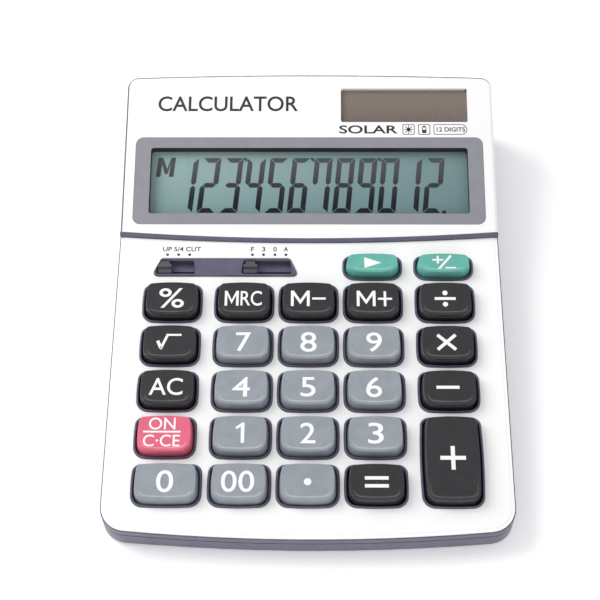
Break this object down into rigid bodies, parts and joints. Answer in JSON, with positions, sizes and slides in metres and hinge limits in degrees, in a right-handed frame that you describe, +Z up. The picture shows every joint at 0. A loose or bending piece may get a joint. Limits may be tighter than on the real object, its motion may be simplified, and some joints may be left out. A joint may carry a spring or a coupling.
{
  "type": "desk calculator",
  "caption": "Desk calculator with a sloped keypad of sprung push keys, two slide switches, a raised display under a clear window and a solar cell window.",
  "frame": {"origin": "centre of the footprint, on the surface the feet rest on", "axes": "+X to the user's right, +Y from the front edge to the rear edge, +Z up"},
  "size_m": [0.11, 0.143, 0.0274],
  "materials": {
    "housing_plastic": "fine satin moulding",
    "silver_plate": "satin anodised",
    "silver_cover": "silver lacquer",
    "clear_window": "polished clear acrylic",
    "mask_print": "grey print",
    "crystal_panel": "polished glass with polariser",
    "crystal_back": "glass with reflector",
    "holder_plastic": "moulded",
    "flex_film": "polyimide film",
    "solar_layer": "amorphous cell",
    "lead_red": "insulated wire",
    "lead_black": "insulated wire",
    "board_laminate": "solder mask",
    "epoxy_black": "cured epoxy",
    "capacitor_sleeve": "shrink sleeve",
    "resistor_body": "lacquered",
    "dome_rubber": "silicone",
    "carbon_print": "carbon ink",
    "slider_plastic": "fine satin moulding",
    "wiper_brass": "bright",
    "cell_steel": "nickel plated",
    "spring_steel": "nickel plated",
    "screw_steel": "zinc plated",
    "foot_rubber": "matt",
    "key_charcoal": "satin",
    "key_grey": "satin",
    "key_coral": "satin",
    "key_green": "satin"
  },
  "bodies": {
    "case": {"upper_housing": "housing_plastic", "lower_housing": "housing_plastic", "battery_cover": "housing_plastic", "keypad_faceplate": "silver_plate", "display_cover": "silver_cover", "display_window": "clear_window", "solar_window": "clear_window", "window_mask": "mask_print", "lcd_front_glass": "crystal_panel", "lcd_rear_glass": "crystal_back", "lcd_frame": "holder_plastic", "lcd_flex": "flex_film", "solar_cell": "solar_layer", "solar_leads": "lead_red", "cell_leads": "lead_black", "main_board": "board_laminate", "controller_blob": "epoxy_black", "board_capacitors": "capacitor_sleeve", "board_resistors": "resistor_body", "dome_sheet": "dome_rubber", "contact_pads": "carbon_print", "button_cell": "cell_steel", "cell_contact_negative": "spring_steel", "cell_contact_positive": "spring_steel", "battery_cover_screw": "screw_steel", "case_screws": "screw_steel", "board_screws": "screw_steel", "lcd_frame_screws": "screw_steel", "rubber_feet": "foot_rubber"},
    "key_backspace": {"key_backspace": "key_green"},
    "key_sign": {"key_sign": "key_green"},
    "key_percent": {"key_percent": "key_charcoal"},
    "key_memory_recall": {"key_memory_recall": "key_charcoal"},
    "key_memory_minus": {"key_memory_minus": "key_charcoal"},
    "key_memory_plus": {"key_memory_plus": "key_charcoal"},
    "key_divide": {"key_divide": "key_charcoal"},
    "key_root": {"key_root": "key_charcoal"},
    "key_7": {"key_7": "key_grey"},
    "key_8": {"key_8": "key_grey"},
    "key_9": {"key_9": "key_grey"},
    "key_multiply": {"key_multiply": "key_charcoal"},
    "key_all_clear": {"key_all_clear": "key_charcoal"},
    "key_4": {"key_4": "key_grey"},
    "key_5": {"key_5": "key_grey"},
    "key_6": {"key_6": "key_grey"},
    "key_minus": {"key_minus": "key_charcoal"},
    "key_on_clear": {"key_on_clear": "key_coral"},
    "key_1": {"key_1": "key_grey"},
    "key_2": {"key_2": "key_grey"},
    "key_3": {"key_3": "key_grey"},
    "key_0": {"key_0": "key_grey"},
    "key_00": {"key_00": "key_grey"},
    "key_point": {"key_point": "key_grey"},
    "key_equals": {"key_equals": "key_charcoal"},
    "key_plus": {"key_plus": "key_charcoal"},
    "rounding_switch": {"rounding_slider": "slider_plastic", "rounding_wiper": "wiper_brass"},
    "decimal_switch": {"decimal_slider": "slider_plastic", "decimal_wiper": "wiper_brass"}
  },
  "joints": [
    {"name": "key_backspace_press", "type": "slide", "parent": "case", "child": "key_backspace", "axis": [0, 0.0698, -0.9976], "range_m": [0, 0.0012], "stiffness_N_per_m": 350, "springref_m": -0.0004, "deforming": ["dome_sheet"]},
    {"name": "key_sign_press", "type": "slide", "parent": "case", "child": "key_sign", "axis": [0, 0.0698, -0.9976], "range_m": [0, 0.0012], "stiffness_N_per_m": 350, "springref_m": -0.0004, "deforming": ["dome_sheet"]},
    {"name": "key_percent_press", "type": "slide", "parent": "case", "child": "key_percent", "axis": [0, 0.0698, -0.9976], "range_m": [0, 0.0012], "stiffness_N_per_m": 350, "springref_m": -0.0004, "deforming": ["dome_sheet"]},
    {"name": "key_memory_recall_press", "type": "slide", "parent": "case", "child": "key_memory_recall", "axis": [0, 0.0698, -0.9976], "range_m": [0, 0.0012], "stiffness_N_per_m": 350, "springref_m": -0.0004, "deforming": ["dome_sheet"]},
    {"name": "key_memory_minus_press", "type": "slide", "parent": "case", "child": "key_memory_minus", "axis": [0, 0.0698, -0.9976], "range_m": [0, 0.0012], "stiffness_N_per_m": 350, "springref_m": -0.0004, "deforming": ["dome_sheet"]},
    {"name": "key_memory_plus_press", "type": "slide", "parent": "case", "child": "key_memory_plus", "axis": [0, 0.0698, -0.9976], "range_m": [0, 0.0012], "stiffness_N_per_m": 350, "springref_m": -0.0004, "deforming": ["dome_sheet"]},
    {"name": "key_divide_press", "type": "slide", "parent": "case", "child": "key_divide", "axis": [0, 0.0698, -0.9976], "range_m": [0, 0.0012], "stiffness_N_per_m": 350, "springref_m": -0.0004, "deforming": ["dome_sheet"]},
    {"name": "key_root_press", "type": "slide", "parent": "case", "child": "key_root", "axis": [0, 0.0698, -0.9976], "range_m": [0, 0.0012], "stiffness_N_per_m": 350, "springref_m": -0.0004, "deforming": ["dome_sheet"]},
    {"name": "key_7_press", "type": "slide", "parent": "case", "child": "key_7", "axis": [0, 0.0698, -0.9976], "range_m": [0, 0.0012], "stiffness_N_per_m": 350, "springref_m": -0.0004, "deforming": ["dome_sheet"]},
    {"name": "key_8_press", "type": "slide", "parent": "case", "child": "key_8", "axis": [0, 0.0698, -0.9976], "range_m": [0, 0.0012], "stiffness_N_per_m": 350, "springref_m": -0.0004, "deforming": ["dome_sheet"]},
    {"name": "key_9_press", "type": "slide", "parent": "case", "child": "key_9", "axis": [0, 0.0698, -0.9976], "range_m": [0, 0.0012], "stiffness_N_per_m": 350, "springref_m": -0.0004, "deforming": ["dome_sheet"]},
    {"name": "key_multiply_press", "type": "slide", "parent": "case", "child": "key_multiply", "axis": [0, 0.0698, -0.9976], "range_m": [0, 0.0012], "stiffness_N_per_m": 350, "springref_m": -0.0004, "deforming": ["dome_sheet"]},
    {"name": "key_all_clear_press", "type": "slide", "parent": "case", "child": "key_all_clear", "axis": [0, 0.0698, -0.9976], "range_m": [0, 0.0012], "stiffness_N_per_m": 350, "springref_m": -0.0004, "deforming": ["dome_sheet"]},
    {"name": "key_4_press", "type": "slide", "parent": "case", "child": "key_4", "axis": [0, 0.0698, -0.9976], "range_m": [0, 0.0012], "stiffness_N_per_m": 350, "springref_m": -0.0004, "deforming": ["dome_sheet"]},
    {"name": "key_5_press", "type": "slide", "parent": "case", "child": "key_5", "axis": [0, 0.0698, -0.9976], "range_m": [0, 0.0012], "stiffness_N_per_m": 350, "springref_m": -0.0004, "deforming": ["dome_sheet"]},
    {"name": "key_6_press", "type": "slide", "parent": "case", "child": "key_6", "axis": [0, 0.0698, -0.9976], "range_m": [0, 0.0012], "stiffness_N_per_m": 350, "springref_m": -0.0004, "deforming": ["dome_sheet"]},
    {"name": "key_minus_press", "type": "slide", "parent": "case", "child": "key_minus", "axis": [0, 0.0698, -0.9976], "range_m": [0, 0.0012], "stiffness_N_per_m": 350, "springref_m": -0.0004, "deforming": ["dome_sheet"]},
    {"name": "key_on_clear_press", "type": "slide", "parent": "case", "child": "key_on_clear", "axis": [0, 0.0698, -0.9976], "range_m": [0, 0.0012], "stiffness_N_per_m": 350, "springref_m": -0.0004, "deforming": ["dome_sheet"]},
    {"name": "key_1_press", "type": "slide", "parent": "case", "child": "key_1", "axis": [0, 0.0698, -0.9976], "range_m": [0, 0.0012], "stiffness_N_per_m": 350, "springref_m": -0.0004, "deforming": ["dome_sheet"]},
    {"name": "key_2_press", "type": "slide", "parent": "case", "child": "key_2", "axis": [0, 0.0698, -0.9976], "range_m": [0, 0.0012], "stiffness_N_per_m": 350, "springref_m": -0.0004, "deforming": ["dome_sheet"]},
    {"name": "key_3_press", "type": "slide", "parent": "case", "child": "key_3", "axis": [0, 0.0698, -0.9976], "range_m": [0, 0.0012], "stiffness_N_per_m": 350, "springref_m": -0.0004, "deforming": ["dome_sheet"]},
    {"name": "key_0_press", "type": "slide", "parent": "case", "child": "key_0", "axis": [0, 0.0698, -0.9976], "range_m": [0, 0.0012], "stiffness_N_per_m": 350, "springref_m": -0.0004, "deforming": ["dome_sheet"]},
    {"name": "key_00_press", "type": "slide", "parent": "case", "child": "key_00", "axis": [0, 0.0698, -0.9976], "range_m": [0, 0.0012], "stiffness_N_per_m": 350, "springref_m": -0.0004, "deforming": ["dome_sheet"]},
    {"name": "key_point_press", "type": "slide", "parent": "case", "child": "key_point", "axis": [0, 0.0698, -0.9976], "range_m": [0, 0.0012], "stiffness_N_per_m": 350, "springref_m": -0.0004, "deforming": ["dome_sheet"]},
    {"name": "key_equals_press", "type": "slide", "parent": "case", "child": "key_equals", "axis": [0, 0.0698, -0.9976], "range_m": [0, 0.0012], "stiffness_N_per_m": 350, "springref_m": -0.0004, "deforming": ["dome_sheet"]},
    {"name": "key_plus_press", "type": "slide", "parent": "case", "child": "key_plus", "axis": [0, 0.0698, -0.9976], "range_m": [0, 0.0012], "stiffness_N_per_m": 350, "springref_m": -0.0004, "deforming": ["dome_sheet"]},
    {"name": "rounding_slide", "type": "slide", "parent": "case", "child": "rounding_switch", "axis": [1, 0, 0], "range_m": [0, 0.0064]},
    {"name": "decimal_slide", "type": "slide", "parent": "case", "child": "decimal_switch", "axis": [1, 0, 0], "range_m": [0, 0.0097]}
  ]
}
